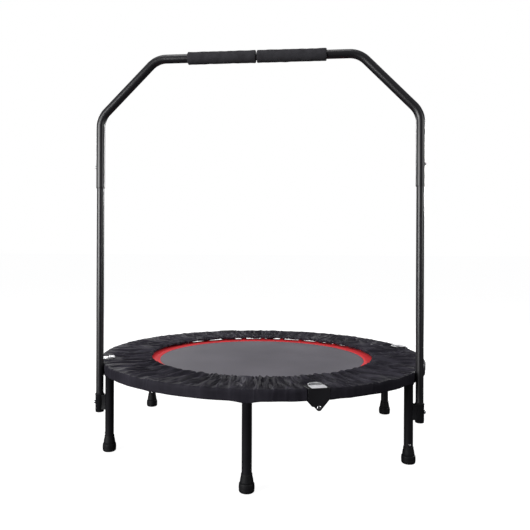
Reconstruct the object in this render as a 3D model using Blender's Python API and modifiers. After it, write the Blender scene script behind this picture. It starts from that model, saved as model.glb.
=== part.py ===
"""Mini trampoline with a folding round frame, six screw-in legs and a U-shaped handrail.

Metres, +Z up, the floor at z = 0, the centre of the bed on the Z axis, the handrail towards -Y.
The ring is four tube quadrants hinged to each other. It folds in half about the line
through two of the hinges.
"""

import math

import bmesh
import bpy
from mathutils import Matrix, Vector

# Gap left between pieces that touch or are pressed together.
GAP = 0.0003
# How far a joined piece stays inside the faces of the piece that it joins.
INSET = 0.0002

# Ring, legs and feet.
RING_RADIUS = 0.4905
RING_Z = 0.2375
TUBE_RADIUS = 0.0125
TUBE_WALL = 0.0015
QUADRANT_STEPS = 16
LEG_ANGLES = {
    "front_left": -150,
    "front": -90,
    "front_right": -30,
    "rear_right": 30,
    "rear": 90,
    "rear_left": 150,
}
LEG_BOTTOM_Z = 0.0063
LEG_TOP_Z = 0.2245
SPIGOT_RADIUS = 0.0105
SPIGOT_LENGTH = 0.038
FOOT_HEIGHT = 0.046
FOOT_RADIUS = 0.0195
FOOT_DRUM_HEIGHT = 0.022

# Hinges: the pins lie under the tube, so the ring folds with its legs towards each other.
HINGE_ANGLES = {"front": -70, "right": 20, "rear": 110, "left": 200}
QUADRANTS = {
    "front_left": (-160, -70),
    "front_right": (-70, 20),
    "rear_right": (20, 110),
    "rear_left": (110, 200),
}
PIN_Z = 0.2065
PIN_RADIUS = 0.004
PIN_HEAD_RADIUS = 0.006
PIN_HEAD_LENGTH = 0.0018
HINGE_HALF_WIDTH = 0.028
HINGE_SHOULDER_Z = 0.226
CHEEK_THICKNESS = 0.002
CHANNEL_INSIDE = 0.0175
CHANNEL_TOP_Z = 0.2536
CHEEK_TIP_RADIUS = 0.008
INNER_LEAF_INSIDE = 0.0142
INNER_LEAF_TOP_Z = 0.2514
INNER_LEAF_THICKNESS = 0.0008
INNER_EAR_THICKNESS = 0.0016
INNER_EAR_TIP_RADIUS = 0.007
PLATE_THICKNESS = 0.0015
PLATE_OUTER_RADIUS = 0.512
PLATE_INNER_RADIUS = 0.466
PLATED_HINGES = ("front", "right", "left")

# Bed: a woven mat with a webbing border, hung in the ring on coil springs.
MAT_RADIUS = 0.326
MAT_Z = 0.2365
MAT_THICKNESS = 0.0016
BAND_RADIUS = 0.380
BAND_THICKNESS = 0.003
BED_STEPS = 32
SPRING_COUNT = 32
SPRING_RADIUS = 0.0055
SPRING_Z = 0.2395
EDGE_WIRE_RADIUS = 0.3845
EDGE_WIRE_THICKNESS = 0.0015

# Fabric skirt over the springs and the ring.
SKIRT_INNER_RADIUS = 0.352
SKIRT_RADIUS = 0.508
SKIRT_TOP_Z = 0.2525
SKIRT_BOTTOM_Z = 0.2247
SKIRT_THICKNESS = 0.002
SKIRT_WALL = 0.0036

# Handrail.
POLE_SPACING = 0.0296
POLE_RADIUS = 0.0107
POLE_WALL = 0.0013
POLE_BOTTOM_Z = 0.1165
POLE_TOP_Z = 0.845
SOCKET_BOTTOM_Z = 0.117
SOCKET_TOP_Z = 0.167
SOCKET_RADIUS = 0.0127
SADDLE_HALF_WIDTH = 0.010
SADDLE_HALF_HEIGHT = 0.021
BOLT_Z = 0.142
BOLT_RADIUS = 0.003
BOLT_HEAD_RADIUS = 0.0055
BOLT_HEAD_LENGTH = 0.0045
HANDLE_TUBE_BOTTOM_Z = 0.763
HANDLE_TOP_Z = 1.135
HANDLE_SHOULDER_Z = 0.967
HANDLE_TOP_HALF_WIDTH = 0.2875
HANDLE_BEND_RADIUS = 0.065
GRIP_RADIUS = 0.017
GRIP_LENGTH = 0.1955
GRIP_HALF_GAP = 0.0015
JOINER_HALF_LENGTH = 0.060
BUTTON_Z = 0.825
BUTTON_RADIUS = 0.004
BUTTON_STANDS_OUT = 0.0045
HANDLE_TRAVEL = 0.090

BODY_COLLECTION = "mini_trampoline"
CUTTER_COLLECTION = "cutters"


# Scene, materials and small tools.

def clear_scene():
    for obj in list(bpy.data.objects):
        bpy.data.objects.remove(obj)


def new_collection(name):
    collection = bpy.data.collections.new(name)
    bpy.context.scene.collection.children.link(collection)
    return collection


def material(name, colour, roughness, metallic):
    result = bpy.data.materials.new(name)
    result.use_nodes = True
    shader = result.node_tree.nodes["Principled BSDF"]
    shader.inputs["Base Color"].default_value = (*colour, 1.0)
    shader.inputs["Roughness"].default_value = roughness
    shader.inputs["Metallic"].default_value = metallic
    return result


def mesh_object(name, bm, collection, mat=None, smooth=True):
    """A mesh object from a bmesh, with its faces turned outwards."""
    bm.normal_update()
    bmesh.ops.recalc_face_normals(bm, faces=bm.faces)
    mesh = bpy.data.meshes.new(name)
    bm.to_mesh(mesh)
    bm.free()
    if mat:
        mesh.materials.append(mat)
    if smooth:
        mesh.shade_smooth()
        mesh.set_sharp_from_angle(angle=math.radians(40))
    obj = bpy.data.objects.new(name, mesh)
    collection.objects.link(obj)
    if collection is CUTTERS:
        obj.hide_render = True
        obj.display_type = "WIRE"
    return obj


def boolean(obj, other, operation):
    modifier = obj.modifiers.new(f"{operation.lower()}_{other.name}", "BOOLEAN")
    modifier.object = other
    modifier.operation = operation
    modifier.solver = "EXACT"


def polar(radius, angle, z):
    """A point at a radius and an angle in degrees about the Z axis."""
    turn = math.radians(angle)
    return Vector((radius * math.cos(turn), radius * math.sin(turn), z))


def turns(count):
    """Evenly spaced angles round a circle, in radians."""
    return [2 * math.pi * index / count for index in range(count)]


def rod(name, start, end, radius, sides, collection, mat=None):
    """A solid cylinder between two points."""
    start = Vector(start)
    end = Vector(end)
    bm = bmesh.new()
    turn = (end - start).to_track_quat("Z", "Y").to_matrix().to_4x4()
    place = Matrix.Translation((start + end) / 2) @ turn
    bmesh.ops.create_cone(
        bm,
        cap_ends=True,
        segments=sides,
        radius1=radius,
        radius2=radius,
        depth=(end - start).length,
        matrix=place,
    )
    return mesh_object(name, bm, collection, mat)


def block(name, low, high, collection, mat=None, place=None):
    """A box between two corners, turned and moved by the matrix place."""
    low = Vector(low)
    high = Vector(high)
    bm = bmesh.new()
    size = Matrix.Diagonal((*(high - low), 1.0))
    bmesh.ops.create_cube(bm, size=1.0, matrix=Matrix.Translation((low + high) / 2) @ size)
    if place:
        bm.transform(place)
    return mesh_object(name, bm, collection, mat, smooth=False)


def turned(name, profile, sides, collection, mat=None):
    """A solid of revolution about Z. The profile is (radius, z) points down the outer side, closed."""
    bm = bmesh.new()
    points = [bm.verts.new((radius, 0.0, z)) for radius, z in profile]
    for point, following in zip(points, points[1:] + points[:1]):
        bm.edges.new((point, following))
    mesh = bpy.data.meshes.new(name)
    bm.to_mesh(mesh)
    bm.free()
    obj = bpy.data.objects.new(name, mesh)
    collection.objects.link(obj)
    if mat:
        mesh.materials.append(mat)
    screw = obj.modifiers.new("turn", "SCREW")
    screw.steps = sides
    screw.render_steps = sides
    screw.use_merge_vertices = True
    screw.merge_threshold = 0.00005
    return obj


def spin(bm, geometry, degrees, steps):
    """Sweeps the geometry about Z."""
    bmesh.ops.spin(
        bm,
        geom=geometry,
        cent=(0, 0, 0),
        axis=(0, 0, 1),
        angle=math.radians(degrees),
        steps=steps,
        use_duplicate=False,
    )
    bmesh.ops.remove_doubles(bm, verts=bm.verts, dist=0.00001)


def ring_sector(name, profile, start, end, steps, collection, mat=None):
    """A closed solid: the (radius, z) profile swept about Z between two angles in degrees."""
    bm = bmesh.new()
    points = [bm.verts.new(polar(radius, start, z)) for radius, z in profile]
    face = bm.faces.new(points)
    geometry = [face, *face.edges, *face.verts]
    spin(bm, geometry, end - start, steps)
    return mesh_object(name, bm, collection, mat)


def ring_tube(name, radius, z, thickness, wall, start, end, steps, sides, collection, mat):
    """A tube of the given outer radius bent round the Z axis, with its ends open and radial."""
    bm = bmesh.new()
    section = [(radius + thickness * math.cos(a), z + thickness * math.sin(a)) for a in turns(sides)]
    points = [bm.verts.new(polar(reach, start, height)) for reach, height in section]
    edges = [bm.edges.new(pair) for pair in zip(points, points[1:] + points[:1])]
    spin(bm, [*edges, *points], end - start, steps)
    obj = mesh_object(name, bm, collection, mat)
    shell = obj.modifiers.new("wall", "SOLIDIFY")
    shell.thickness = wall
    shell.offset = -1.0
    return obj


def tube(name, points, radius, bevel_resolution, collection, mat=None, wall=None):
    """A round bar along the points, or a tube open at both ends where a wall is given."""
    curve = bpy.data.curves.new(name + "_path", "CURVE")
    curve.dimensions = "3D"
    curve.bevel_depth = radius
    curve.bevel_resolution = bevel_resolution
    curve.use_fill_caps = wall is None
    spline = curve.splines.new("POLY")
    spline.points.add(len(points) - 1)
    for slot, point in zip(spline.points, points):
        slot.co = (*point, 1.0)
    path = bpy.data.objects.new(name + "_path", curve)
    collection.objects.link(path)
    bpy.context.view_layer.update()
    graph = bpy.context.evaluated_depsgraph_get()
    mesh = bpy.data.meshes.new_from_object(path.evaluated_get(graph))
    bm = bmesh.new()
    bm.from_mesh(mesh)
    bpy.data.objects.remove(path)
    bpy.data.meshes.remove(mesh)
    bmesh.ops.remove_doubles(bm, verts=bm.verts, dist=0.00001)
    obj = mesh_object(name, bm, collection, mat)
    if wall is None:
        return obj
    shell = obj.modifiers.new("wall", "SOLIDIFY")
    shell.thickness = wall
    shell.offset = -1.0
    return obj


def straight_tube(name, bottom, top, radius, wall, sides, collection, mat):
    """An upright tube, turned so that its ends are open."""
    inside = radius - wall
    height = top.z - bottom.z
    profile = [(radius, height), (radius, 0.0), (inside, 0.0), (inside, height)]
    obj = turned(name, profile, sides, collection, mat)
    obj.location = bottom
    return obj


def rounded_path(corners, radius, steps):
    """The corners' polyline with each inner corner replaced by an arc."""
    corners = [Vector(corner) for corner in corners]
    points = [corners[0]]
    for before, corner, after in zip(corners, corners[1:], corners[2:]):
        to_before = (before - corner).normalized()
        to_after = (after - corner).normalized()
        half_turn = (math.pi - to_before.angle(to_after)) / 2
        reach = radius * math.tan(half_turn)
        centre = corner + (to_before + to_after).normalized() * (radius / math.cos(half_turn))
        start = corner + to_before * reach - centre
        axis = to_after.cross(to_before).normalized()
        for step in range(steps + 1):
            turn = Matrix.Rotation(2 * half_turn * step / steps, 3, axis)
            points.append(centre + turn @ start)
    points.append(corners[-1])
    return points


# Ring, legs and feet.

def make_quadrant(name, start, end):
    """One quadrant of the ring, with the spigots that its legs screw onto."""
    slack = math.degrees(GAP / RING_RADIUS)
    arc = ring_tube(
        f"frame_arc_{name}",
        RING_RADIUS,
        RING_Z,
        TUBE_RADIUS,
        TUBE_WALL,
        start + slack,
        end - slack,
        QUADRANT_STEPS,
        12,
        PARTS,
        BLACK_STEEL,
    )
    for leg, angle in LEG_ANGLES.items():
        if start < angle < end or start < angle + 360 < end:
            top = polar(RING_RADIUS, angle, RING_Z - TUBE_RADIUS + TUBE_WALL + 0.002)
            bottom = top - Vector((0, 0, SPIGOT_LENGTH))
            spigot = rod(f"spigot_{leg}", bottom, top, SPIGOT_RADIUS, 12, CUTTERS)
            boolean(arc, spigot, "UNION")
    return arc


def make_leg(name, angle):
    bottom = polar(RING_RADIUS, angle, LEG_BOTTOM_Z)
    top = polar(RING_RADIUS, angle, LEG_TOP_Z)
    return straight_tube(f"leg_{name}", bottom, top, TUBE_RADIUS, TUBE_WALL, 16, PARTS, BLACK_STEEL)


def make_foot(name, angle):
    """A rubber cup: a drum with rounded edges, then a cone up the leg."""
    bore = TUBE_RADIUS + GAP
    sole = LEG_BOTTOM_Z - GAP
    profile = [
        (0.0145, FOOT_HEIGHT),
        (0.0163, FOOT_DRUM_HEIGHT + 0.003),
        (FOOT_RADIUS - 0.001, FOOT_DRUM_HEIGHT),
        (FOOT_RADIUS, FOOT_DRUM_HEIGHT - 0.002),
        (FOOT_RADIUS, 0.002),
        (FOOT_RADIUS - 0.002, 0.0),
        (0.0, 0.0),
        (0.0, sole),
        (bore, sole),
        (bore, FOOT_HEIGHT),
    ]
    foot = turned(f"foot_{name}", profile, 16, PARTS, RUBBER)
    foot.location = polar(RING_RADIUS, angle, 0.0)
    return foot


# Hinges. Each is built about its own origin on the pin: X outwards, Y along the ring, Z up.

def hinge_place(angle):
    turn = Matrix.Rotation(math.radians(angle), 4, "Z")
    return Matrix.Translation(polar(RING_RADIUS, angle, PIN_Z)) @ turn


def arc_points(centre, radius, start, end, steps):
    """Points of an arc in a plane, angles in degrees."""
    angles = [math.radians(start + (end - start) * step / steps) for step in range(steps + 1)]
    return [(centre[0] + radius * math.cos(a), centre[1] + radius * math.sin(a)) for a in angles]


def cheek(name, outline, x_low, thickness, collection, mat=None):
    """A flat plate across X, from its (y, z) outline."""
    bm = bmesh.new()
    face = bm.faces.new([bm.verts.new((x_low, y, z)) for y, z in outline])
    pushed = bmesh.ops.extrude_face_region(bm, geom=[face])
    moved = [item for item in pushed["geom"] if isinstance(item, bmesh.types.BMVert)]
    bmesh.ops.translate(bm, verts=moved, vec=(thickness, 0, 0))
    return mesh_object(name, bm, collection, mat, smooth=False)


def make_channel_leaf(name, angle):
    """The outer leaf: two five-sided cheeks and a top, straddling both tube ends."""
    top = CHANNEL_TOP_Z - PIN_Z
    shoulder = HINGE_SHOULDER_Z - PIN_Z
    tip = arc_points((0, 0), CHEEK_TIP_RADIUS, -150, -30, 6)
    outline = [(-HINGE_HALF_WIDTH, shoulder), *tip, (HINGE_HALF_WIDTH, shoulder)]
    outline += [(HINGE_HALF_WIDTH, top), (-HINGE_HALF_WIDTH, top)]
    outside = CHANNEL_INSIDE + CHEEK_THICKNESS
    leaf = cheek(f"hinge_channel_{name}", outline, -outside, CHEEK_THICKNESS, PARTS, BLACK_STEEL)
    other = cheek(f"channel_cheek_{name}", outline, CHANNEL_INSIDE, CHEEK_THICKNESS, CUTTERS)
    roof = block(
        f"channel_roof_{name}",
        (INSET - outside, INSET - HINGE_HALF_WIDTH, top - CHEEK_THICKNESS),
        (outside - INSET, HINGE_HALF_WIDTH - INSET, top - INSET),
        CUTTERS,
    )
    bore = rod(f"channel_bore_{name}", (-0.03, 0, 0), (0.03, 0, 0), PIN_RADIUS + GAP, 12, CUTTERS)
    place = hinge_place(angle)
    for piece in (leaf, other, roof, bore):
        piece.matrix_world = place
    bpy.context.view_layer.update()
    boolean(leaf, other, "UNION")
    boolean(leaf, roof, "UNION")
    boolean(leaf, bore, "DIFFERENCE")
    return leaf


def make_inner_leaf(name, angle):
    """The inner leaf: a saddle over one tube end, with an ear each side down to the pin."""
    top = INNER_LEAF_TOP_Z - PIN_Z
    tip = arc_points((0, 0), INNER_EAR_TIP_RADIUS, -180, -30, 6)
    outline = [*tip, (0.026, 0.016), (0.026, top), (0.001, top), (0.001, 0.010), (-0.0055, 0.0045)]
    outside = INNER_LEAF_INSIDE + INNER_EAR_THICKNESS
    leaf = cheek(f"hinge_leaf_{name}", outline, -outside, INNER_EAR_THICKNESS, PARTS, BLACK_STEEL)
    other = cheek(f"leaf_ear_{name}", outline, INNER_LEAF_INSIDE, INNER_EAR_THICKNESS, CUTTERS)
    roof = block(
        f"leaf_roof_{name}",
        (INSET - outside, 0.001 + INSET, top - INSET - INNER_LEAF_THICKNESS),
        (outside - INSET, 0.026 - INSET, top - INSET),
        CUTTERS,
    )
    bore = rod(f"leaf_bore_{name}", (-0.03, 0, 0), (0.03, 0, 0), PIN_RADIUS + GAP, 12, CUTTERS)
    place = hinge_place(angle)
    if name in ("left", "rear"):
        place = place @ Matrix.Rotation(math.pi, 4, "Z")
    for piece in (leaf, other, roof, bore):
        piece.matrix_world = place
    bpy.context.view_layer.update()
    boolean(leaf, other, "UNION")
    boolean(leaf, roof, "UNION")
    boolean(leaf, bore, "DIFFERENCE")
    return leaf


def make_hinge_pin(name, angle):
    """A rivet through both leaves, with a head at each end."""
    face = CHANNEL_INSIDE + CHEEK_THICKNESS + GAP
    end = face + PIN_HEAD_LENGTH
    profile = [
        (0.0, end),
        (PIN_HEAD_RADIUS - 0.0008, end),
        (PIN_HEAD_RADIUS, end - 0.0008),
        (PIN_HEAD_RADIUS, face),
        (PIN_RADIUS, face),
        (PIN_RADIUS, -face),
        (PIN_HEAD_RADIUS, -face),
        (PIN_HEAD_RADIUS, 0.0008 - end),
        (PIN_HEAD_RADIUS - 0.0008, -end),
        (0.0, -end),
    ]
    pin = turned(f"hinge_pin_{name}", profile, 12, PARTS, ZINC)
    pin.matrix_world = hinge_place(angle) @ Matrix.Rotation(math.pi / 2, 4, "Y")
    return pin


def make_hinge_plate(name, angle):
    """A flat cover plate with a round inner end, lying on the channel leaf."""
    low = CHANNEL_TOP_Z + GAP
    outer = PLATE_OUTER_RADIUS - RING_RADIUS
    inner = PLATE_INNER_RADIUS - RING_RADIUS
    dome = arc_points((inner + HINGE_HALF_WIDTH, 0), HINGE_HALF_WIDTH, 90, 270, 12)
    corner = 0.004
    outline = dome + arc_points((outer - corner, corner - HINGE_HALF_WIDTH), corner, -90, 0, 3)
    outline += arc_points((outer - corner, HINGE_HALF_WIDTH - corner), corner, 0, 90, 3)
    bm = bmesh.new()
    face = bm.faces.new([bm.verts.new((x, y, low - PIN_Z)) for x, y in outline])
    pushed = bmesh.ops.extrude_face_region(bm, geom=[face])
    moved = [item for item in pushed["geom"] if isinstance(item, bmesh.types.BMVert)]
    bmesh.ops.translate(bm, verts=moved, vec=(0, 0, PLATE_THICKNESS))
    plate = mesh_object(f"hinge_plate_{name}", bm, PARTS, ZINC)
    plate.matrix_world = hinge_place(angle)
    return plate


# Bed and skirt.

def make_mat(name, start):
    """Half of the woven mat, a half disc."""
    turn = Matrix.Rotation(math.radians(start), 4, "Z")
    bm = bmesh.new()
    low = MAT_Z - MAT_THICKNESS / 2
    outline = arc_points((0, GAP), MAT_RADIUS - GAP, 0, 180, BED_STEPS)
    face = bm.faces.new([bm.verts.new((x, y, low)) for x, y in outline])
    pushed = bmesh.ops.extrude_face_region(bm, geom=[face])
    moved = [item for item in pushed["geom"] if isinstance(item, bmesh.types.BMVert)]
    bmesh.ops.translate(bm, verts=moved, vec=(0, 0, MAT_THICKNESS))
    bm.transform(turn)
    return mesh_object(f"mat_{name}", bm, PARTS, WOVEN)


def make_band(name, start):
    """Half of the webbing border that the springs pull on."""
    low = MAT_Z - BAND_THICKNESS / 2
    high = MAT_Z + BAND_THICKNESS / 2
    inner = MAT_RADIUS + GAP
    profile = [(inner, low), (BAND_RADIUS, low), (BAND_RADIUS, high), (inner, high)]
    slack = math.degrees(GAP / inner)
    start += slack
    end = start + 180 - 2 * slack
    return ring_sector(f"border_band_{name}", profile, start, end, BED_STEPS, PARTS, RED_WEBBING)


def make_springs(name, start):
    """A quadrant's coil springs as plain bars of their outer size, on the wire that they hook onto."""
    pitch = 360 / SPRING_COUNT
    count = SPRING_COUNT // 4
    angles = [start + pitch * (step + 0.5) for step in range(count)]
    points = [polar(EDGE_WIRE_RADIUS, angle, SPRING_Z) for angle in angles]
    wire = tube(f"springs_{name}", points, EDGE_WIRE_THICKNESS, 1, PARTS, ZINC)
    outer = RING_RADIUS - TUBE_RADIUS - 0.0008
    for index in range(count):
        angle = start + pitch * (index + 0.5)
        coil = rod(
            f"coil_{name}_{index}",
            polar(EDGE_WIRE_RADIUS - 0.0010, angle, SPRING_Z),
            polar(outer, angle, SPRING_Z),
            SPRING_RADIUS,
            6,
            CUTTERS,
        )
        boolean(wire, coil, "UNION")
    return wire


def make_skirt(name, start, hinges):
    """Half of the padded fabric cover: a flat top that turns down outside the ring."""
    wall = SKIRT_RADIUS - SKIRT_WALL
    under = SKIRT_TOP_Z - SKIRT_THICKNESS
    profile = [
        (SKIRT_INNER_RADIUS, under),
        (wall - 0.0035, under),
        (wall, under - 0.003),
        (wall, SKIRT_BOTTOM_Z),
        (SKIRT_RADIUS, SKIRT_BOTTOM_Z),
        (SKIRT_RADIUS, SKIRT_TOP_Z - 0.004),
        (SKIRT_RADIUS - 0.005, SKIRT_TOP_Z),
        (SKIRT_INNER_RADIUS, SKIRT_TOP_Z),
    ]
    slack = math.degrees(GAP / SKIRT_INNER_RADIUS)
    start += slack
    end = start + 180 - 2 * slack
    skirt = ring_sector(f"skirt_{name}", profile, start, end, 36, PARTS, POLYESTER)
    inside = CHANNEL_INSIDE + CHEEK_THICKNESS + 0.001
    half = HINGE_HALF_WIDTH + 0.001
    for hinge in hinges:
        place = hinge_place(HINGE_ANGLES[hinge])
        low = (-inside, -half, 0)
        high = (0.05, half, 0.08)
        notch = block(f"notch_{name}_{hinge}", low, high, CUTTERS, place=place)
        boolean(skirt, notch, "DIFFERENCE")
    return skirt


# Handrail. Each side is mirrored by the sign of X.

def handle_xy(side):
    """Where the pole stands: beside the leg at 30 degrees in front of the X axis."""
    leg = polar(RING_RADIUS, -30, 0.0)
    return side * (leg.x + POLE_SPACING), leg.y


def make_pole(name, side):
    x, y = handle_xy(side)
    bottom = Vector((x, y, POLE_BOTTOM_Z + 0.0006))
    top = Vector((x, y, POLE_TOP_Z))
    wall = POLE_WALL
    pole = straight_tube(f"handle_pole_{name}", bottom, top, POLE_RADIUS, wall, 16, PARTS, BLACK_STEEL)
    for label, height in (("high", BUTTON_Z), ("low", BUTTON_Z - HANDLE_TRAVEL)):
        hole = rod(
            f"button_hole_{label}_{name}",
            (x, y, height),
            (x + side * 0.03, y, height),
            BUTTON_RADIUS + 0.0006,
            12,
            CUTTERS,
        )
        boolean(pole, hole, "DIFFERENCE")
    return pole


def make_socket(name, side):
    """The sleeve that holds the pole, with the saddle that bears on the leg."""
    x, y = handle_xy(side)
    leg_x = side * polar(RING_RADIUS, -30, 0.0).x
    bore = POLE_RADIUS + GAP
    height = SOCKET_TOP_Z - SOCKET_BOTTOM_Z
    profile = [(SOCKET_RADIUS, height), (SOCKET_RADIUS, 0.0), (bore, 0.0), (bore, height)]
    socket = turned(f"handle_socket_{name}", profile, 16, PARTS, BLACK_PLASTIC)
    socket.location = (x, y, SOCKET_BOTTOM_Z)
    centre = (SOCKET_BOTTOM_Z + SOCKET_TOP_Z) / 2
    ends = sorted((leg_x, x - side * (bore + 0.0003)))
    saddle = block(
        f"saddle_{name}",
        (ends[0], y - SADDLE_HALF_WIDTH, centre - SADDLE_HALF_HEIGHT),
        (ends[1], y + SADDLE_HALF_WIDTH, centre + SADDLE_HALF_HEIGHT),
        CUTTERS,
    )
    boolean(socket, saddle, "UNION")
    leg_bore = TUBE_RADIUS + GAP
    leg_space = rod(f"leg_space_{name}", (leg_x, y, 0.1), (leg_x, y, 0.19), leg_bore, 16, CUTTERS)
    pole_space = rod(f"pole_space_{name}", (x, y, 0.1), (x, y, 0.19), bore, 16, CUTTERS)
    boolean(socket, leg_space, "DIFFERENCE")
    boolean(socket, pole_space, "DIFFERENCE")
    return socket


def bolt_hole(name, side):
    """The cutter along the clamp bolt, into the leg and through the saddle, the socket and the pole."""
    x, y = handle_xy(side)
    return rod(
        f"bolt_hole_{name}",
        (side * (abs(x) - POLE_SPACING), y, BOLT_Z),
        (side * (abs(x) + 0.03), y, BOLT_Z),
        BOLT_RADIUS + GAP,
        12,
        CUTTERS,
    )


def make_bolt(name, side):
    """The bolt, with its head outside the socket and its end in the leg's outer wall."""
    x, y = handle_xy(side)
    head = abs(x) + SOCKET_RADIUS + GAP
    tip = abs(x) - POLE_SPACING + 0.005
    profile = [
        (0.0, head + BOLT_HEAD_LENGTH),
        (BOLT_HEAD_RADIUS - 0.001, head + BOLT_HEAD_LENGTH),
        (BOLT_HEAD_RADIUS, head + BOLT_HEAD_LENGTH - 0.001),
        (BOLT_HEAD_RADIUS, head),
        (BOLT_RADIUS, head),
        (BOLT_RADIUS, tip),
        (0.0, tip),
    ]
    bolt = turned(f"clamp_bolt_{name}", profile, 12, PARTS, ZINC)
    turn = Matrix.Rotation(side * math.pi / 2, 4, "Y")
    bolt.matrix_world = Matrix.Translation((0, y, BOLT_Z)) @ turn
    return bolt


def make_plug(name, side):
    """The plastic plug that closes the pole's lower end."""
    x, y = handle_xy(side)
    low = SOCKET_BOTTOM_Z - GAP - 0.004
    stem = POLE_RADIUS - POLE_WALL - GAP
    profile = [
        (stem, 0.013),
        (stem, 0.004),
        (SOCKET_RADIUS - 0.0004, 0.004),
        (SOCKET_RADIUS - 0.0004, 0.001),
        (SOCKET_RADIUS - 0.0014, 0.0),
        (0.0, 0.0),
        (0.0, 0.013),
    ]
    plug = turned(f"pole_plug_{name}", profile, 16, PARTS, BLACK_PLASTIC)
    plug.location = (x, y, low)
    return plug


def make_handle_tube(name, side):
    """The bent upper tube: up over the pole, in at 45 degrees, then across the top to the middle."""
    x, y = handle_xy(side)
    corners = [
        (x, y, HANDLE_TUBE_BOTTOM_Z),
        (x, y, HANDLE_SHOULDER_Z),
        (side * HANDLE_TOP_HALF_WIDTH, y, HANDLE_TOP_Z),
        (side * GRIP_HALF_GAP, y, HANDLE_TOP_Z),
    ]
    points = rounded_path(corners, HANDLE_BEND_RADIUS, 5)
    handle = tube(f"handle_tube_{name}", points, TUBE_RADIUS, 6, PARTS, BLACK_STEEL, TUBE_WALL)
    inner = (x, y, BUTTON_Z)
    outer = (x + side * 0.03, y, BUTTON_Z)
    hole = rod(f"tube_button_hole_{name}", inner, outer, BUTTON_RADIUS + GAP, 12, CUTTERS)
    boolean(handle, hole, "DIFFERENCE")
    return handle


def make_grip(name, side):
    """A foam sleeve with soft ends."""
    _, y = handle_xy(side)
    bore = TUBE_RADIUS + GAP
    profile = [
        (GRIP_RADIUS - 0.0015, GRIP_LENGTH),
        (GRIP_RADIUS, GRIP_LENGTH - 0.002),
        (GRIP_RADIUS, 0.002),
        (GRIP_RADIUS - 0.0015, 0.0),
        (bore, 0.0),
        (bore, GRIP_LENGTH),
    ]
    grip = turned(f"grip_{name}", profile, 16, PARTS, FOAM)
    place = Matrix.Translation((side * GRIP_HALF_GAP, y, HANDLE_TOP_Z))
    grip.matrix_world = place @ Matrix.Rotation(side * math.pi / 2, 4, "Y")
    return grip


def make_joiner():
    """The bar inside the top rail that joins its two halves."""
    _, y = handle_xy(1)
    ends = [Vector((side * JOINER_HALF_LENGTH, y, HANDLE_TOP_Z)) for side in (-1, 1)]
    return tube("rail_joiner", ends, POLE_RADIUS, 6, PARTS, BLACK_STEEL, POLE_WALL)


def make_button(name, side):
    """The snap button that locks the handle's height, pressed in along X."""
    x, y = handle_xy(side)
    inner = TUBE_RADIUS - TUBE_WALL + 0.0002
    outer = TUBE_RADIUS + BUTTON_STANDS_OUT
    profile = [
        (0.0, outer),
        (BUTTON_RADIUS * 0.6, outer - 0.0005),
        (BUTTON_RADIUS, outer - 0.002),
        (BUTTON_RADIUS, inner),
        (0.0, inner),
    ]
    button = turned(f"snap_button_{name}", profile, 12, PARTS, ZINC)
    turn = Matrix.Rotation(side * math.pi / 2, 4, "Y")
    button.matrix_world = Matrix.Translation((x, y, BUTTON_Z)) @ turn
    return button


def make_handrail():
    for name, side in (("left", -1), ("right", 1)):
        pole = make_pole(name, side)
        socket = make_socket(name, side)
        hole = bolt_hole(name, side)
        for piece in (pole, socket, bpy.data.objects[f"leg_front_{name}"]):
            boolean(piece, hole, "DIFFERENCE")
        make_bolt(name, side)
        make_plug(name, side)
        make_handle_tube(name, side)
        make_grip(name, side)
        make_button(name, side)
    make_joiner()


def make_frame():
    for name, (start, end) in QUADRANTS.items():
        make_quadrant(name, start, end)
    for name, angle in LEG_ANGLES.items():
        make_leg(name, angle)
        make_foot(name, angle)
    for name, angle in HINGE_ANGLES.items():
        make_channel_leaf(name, angle)
        make_inner_leaf(name, angle)
        make_hinge_pin(name, angle)
    for name in PLATED_HINGES:
        make_hinge_plate(name, HINGE_ANGLES[name])


def make_bed():
    fold = HINGE_ANGLES["right"]
    for name, start in (("rear", fold), ("front", fold - 180)):
        make_mat(name, start)
        make_band(name, start)
    for name, (start, _) in QUADRANTS.items():
        make_springs(name, start)
    front = make_skirt("front", fold - 180, ("left", "front", "right"))
    make_skirt("rear", fold, ("left", "rear", "right"))
    for name, side in (("left", -1), ("right", 1)):
        x, y = handle_xy(side)
        dent = rod(f"pole_dent_{name}", (x, y, 0.21), (x, y, 0.26), POLE_RADIUS + GAP, 16, CUTTERS)
        boolean(front, dent, "DIFFERENCE")


clear_scene()
PARTS = new_collection(BODY_COLLECTION)
CUTTERS = new_collection(CUTTER_COLLECTION)
BLACK_STEEL = material("black_steel", (0.012, 0.012, 0.014), 0.38, 0.0)
BLACK_PLASTIC = material("black_plastic", (0.015, 0.015, 0.016), 0.45, 0.0)
RUBBER = material("rubber", (0.018, 0.018, 0.020), 0.6, 0.0)
FOAM = material("foam", (0.020, 0.020, 0.022), 0.85, 0.0)
ZINC = material("zinc", (0.75, 0.76, 0.78), 0.3, 1.0)
WOVEN = material("woven_mat", (0.16, 0.15, 0.17), 0.7, 0.0)
RED_WEBBING = material("red_webbing", (0.60, 0.015, 0.025), 0.7, 0.0)
POLYESTER = material("polyester", (0.020, 0.020, 0.023), 0.75, 0.0)

make_frame()
make_bed()
make_handrail()
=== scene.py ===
"""Looks of the mini trampoline: smooth metalwork, gathered fabric skirt, woven bed, coil springs, studio."""

import math

import bmesh
import bpy
import numpy as np
from mathutils import Matrix, Vector


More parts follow.
